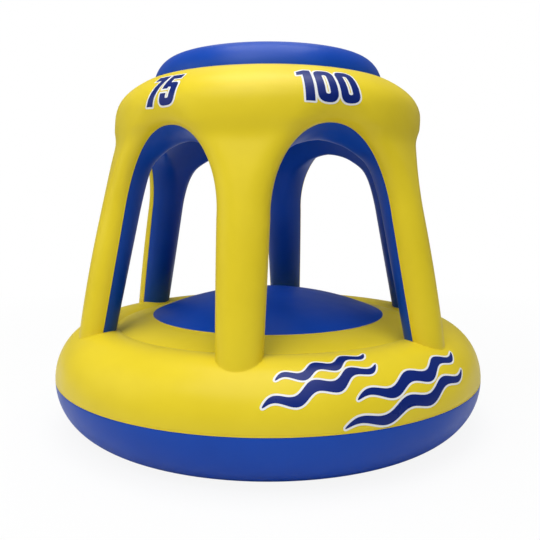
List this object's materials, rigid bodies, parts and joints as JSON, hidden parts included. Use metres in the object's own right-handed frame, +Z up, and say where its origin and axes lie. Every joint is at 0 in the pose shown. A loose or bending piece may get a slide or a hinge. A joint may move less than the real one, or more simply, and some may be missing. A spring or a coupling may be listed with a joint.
{
  "type": "inflatable pool basketball hoop",
  "caption": "Floating inflatable basketball hoop: a domed ring base, a tower of arched legs and a soft rim to shoot a ball through.",
  "frame": {"origin": "centre of the base ring on the surface that it stands on", "axes": "+Z up along the hoop's axis; one leg is towards -Y"},
  "size_m": [1.14, 1.14, 0.9519],
  "materials": {
    "yellow_vinyl": "satin",
    "blue_vinyl": "satin",
    "clear_vinyl": "gloss"
  },
  "bodies": {
    "hoop": {"base_bottom_sheet": "blue_vinyl", "base_inner_wall": "blue_vinyl", "base_top_sheet": "yellow_vinyl", "cushion_cap": "blue_vinyl", "cushion_flank": "yellow_vinyl", "cushion_floor": "blue_vinyl", "cushion_valve_seat": "clear_vinyl", "leg_foot_patch_1": "yellow_vinyl", "leg_foot_patch_2": "yellow_vinyl", "leg_foot_patch_3": "yellow_vinyl", "leg_foot_patch_4": "yellow_vinyl", "leg_foot_patch_5": "yellow_vinyl", "leg_foot_patch_6": "yellow_vinyl", "rim_baffle": "blue_vinyl", "rim_sheet": "blue_vinyl", "ring_valve_seat": "clear_vinyl", "tower_inner_back": "blue_vinyl", "tower_inner_front": "blue_vinyl", "tower_outer_back": "yellow_vinyl", "tower_outer_front": "yellow_vinyl", "tower_valve_seat": "clear_vinyl"},
    "ring_valve_stem": {"ring_valve_stem": "clear_vinyl"},
    "ring_valve_plug": {"ring_valve_plug": "clear_vinyl"},
    "ring_valve_flap": {"ring_valve_flap": "clear_vinyl"},
    "tower_valve_stem": {"tower_valve_stem": "clear_vinyl"},
    "tower_valve_plug": {"tower_valve_plug": "clear_vinyl"},
    "tower_valve_flap": {"tower_valve_flap": "clear_vinyl"},
    "cushion_valve_stem": {"cushion_valve_stem": "clear_vinyl"},
    "cushion_valve_plug": {"cushion_valve_plug": "clear_vinyl"},
    "cushion_valve_flap": {"cushion_valve_flap": "clear_vinyl"}
  },
  "joints": [
    {"name": "ring_valve_pull", "type": "slide", "parent": "hoop", "child": "ring_valve_stem", "axis": [-0.3388, 0.7266, 0.5977], "range_m": [0, 0.012]},
    {"name": "ring_valve_plug_hinge", "type": "hinge", "parent": "ring_valve_stem", "child": "ring_valve_plug", "pos_m": [-0.21558, 0.4926, 0.22813], "axis": [-0.2526, 0.5417, -0.8017], "range_deg": [0, 150]},
    {"name": "ring_valve_flap_hinge", "type": "hinge", "parent": "ring_valve_stem", "child": "ring_valve_flap", "pos_m": [-0.22107, 0.45846, 0.20679], "axis": [-0.2526, 0.5417, -0.8017], "range_deg": [0, 40], "stiffness_Nm_per_rad": 0.0001, "springref_deg": -9.74},
    {"name": "tower_valve_pull", "type": "slide", "parent": "hoop", "child": "tower_valve_stem", "axis": [-0.0973, 0.9762, 0.1939], "range_m": [0, 0.012]},
    {"name": "tower_valve_plug_hinge", "type": "hinge", "parent": "tower_valve_stem", "child": "tower_valve_plug", "pos_m": [-0.02346, 0.41436, 0.73572], "axis": [-0.0169, 0.1932, -0.981], "range_deg": [0, 150]},
    {"name": "tower_valve_flap_hinge", "type": "hinge", "parent": "tower_valve_stem", "child": "tower_valve_flap", "pos_m": [-0.0393, 0.37759, 0.72875], "axis": [-0.0169, 0.1932, -0.981], "range_deg": [0, 40], "stiffness_Nm_per_rad": 0.0001, "springref_deg": -9.74},
    {"name": "cushion_valve_pull", "type": "slide", "parent": "hoop", "child": "cushion_valve_stem", "axis": [-0.0113, 0.1286, -0.9916], "range_m": [0, 0.012]},
    {"name": "cushion_valve_plug_hinge", "type": "hinge", "parent": "cushion_valve_stem", "child": "cushion_valve_plug", "pos_m": [-0.00778, 0.23582, 0.04727], "axis": [0.0864, -0.9879, -0.1291], "range_deg": [0, 150]},
    {"name": "cushion_valve_flap_hinge", "type": "hinge", "parent": "cushion_valve_stem", "child": "cushion_valve_flap", "pos_m": [-0.02671, 0.22954, 0.08267], "axis": [0.0864, -0.9879, -0.1291], "range_deg": [0, 40], "stiffness_Nm_per_rad": 0.0001, "springref_deg": -9.74}
  ]
}
